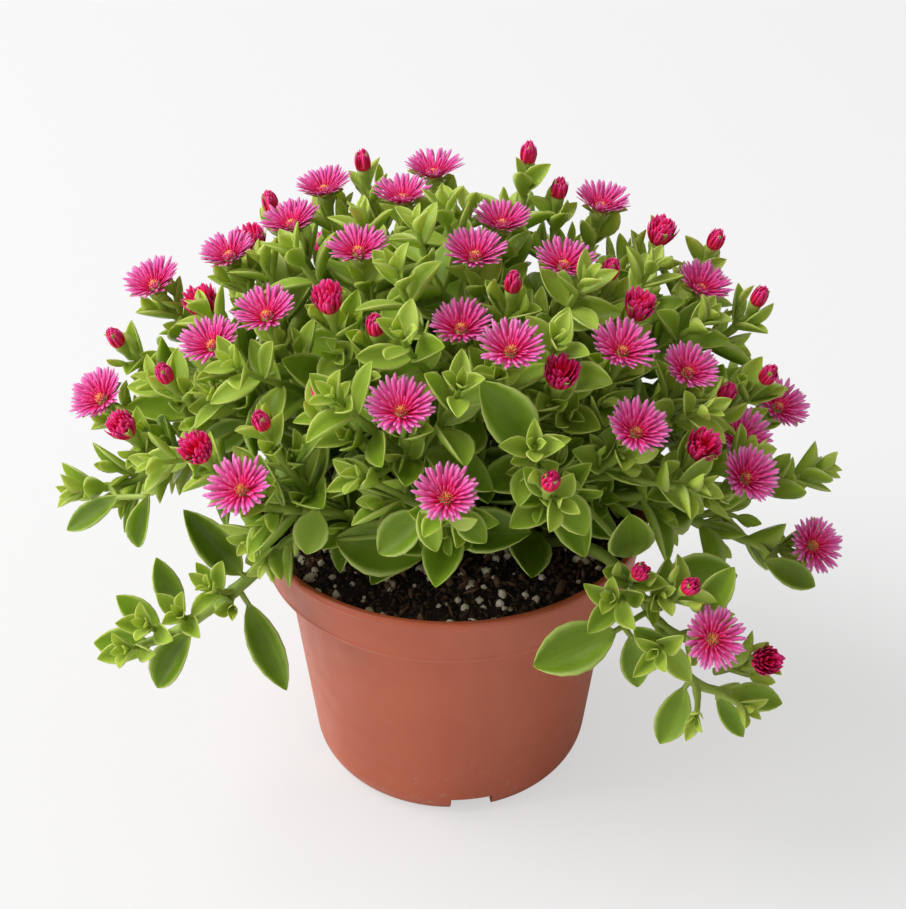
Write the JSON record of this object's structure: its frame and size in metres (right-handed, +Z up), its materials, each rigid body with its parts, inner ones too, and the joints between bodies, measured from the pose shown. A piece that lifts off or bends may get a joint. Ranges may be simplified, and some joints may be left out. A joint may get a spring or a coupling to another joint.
{
  "type": "potted ice plant",
  "caption": "Flowering ice plant in a round plastic nursery pot: fleshy leafy shoots with daisy-like flowers over soil, two of them trailing over the rim.",
  "frame": {"origin": "centre of the pot's foot, on the surface that the pot stands on", "axes": "+Z up along the pot's axis; the plant is seen from -Y; +X to the viewer's right"},
  "size_m": [0.2274, 0.1712, 0.1843],
  "materials": {
    "pot": "satin moulded plastic, terracotta colour",
    "soil": "moist potting mix of peat, bark and perlite",
    "leaves": "waxy, satin, fleshy leaf tissue",
    "petals": "thin silky petals"
  },
  "bodies": {
    "root": {"flower_01": "petals", "flower_02": "petals", "flower_03": "petals", "flower_04": "petals", "flower_05": "petals", "flower_06": "petals", "flower_07": "petals", "flower_08": "petals", "flower_09": "petals", "flower_10": "petals", "flower_11": "petals", "flower_12": "petals", "flower_13": "petals", "flower_14": "petals", "flower_15": "petals", "flower_16": "petals", "flower_17": "petals", "flower_18": "petals", "flower_19": "petals", "flower_20": "petals", "flower_21": "petals", "flower_22": "petals", "flower_23": "petals", "flower_24": "petals", "flower_25": "petals", "flower_26": "petals", "flower_27": "petals", "flower_28": "petals", "flower_29": "petals", "flower_30": "petals", "pot": "pot", "shoot_01": "leaves", "shoot_02": "leaves", "shoot_03": "leaves", "shoot_04": "leaves", "shoot_05": "leaves", "shoot_06": "leaves", "shoot_07": "leaves", "shoot_08": "leaves", "shoot_09": "leaves", "shoot_10": "leaves", "shoot_11": "leaves", "shoot_12": "leaves", "shoot_13": "leaves", "shoot_14": "leaves", "shoot_15": "leaves", "shoot_16": "leaves", "shoot_17": "leaves", "shoot_18": "leaves", "shoot_19": "leaves", "shoot_20": "leaves", "shoot_21": "leaves", "shoot_22": "leaves", "shoot_23": "leaves", "shoot_24": "leaves", "shoot_25": "leaves", "shoot_26": "leaves", "shoot_27": "leaves", "shoot_28": "leaves", "soil": "soil"}
  },
  "joints": []
}
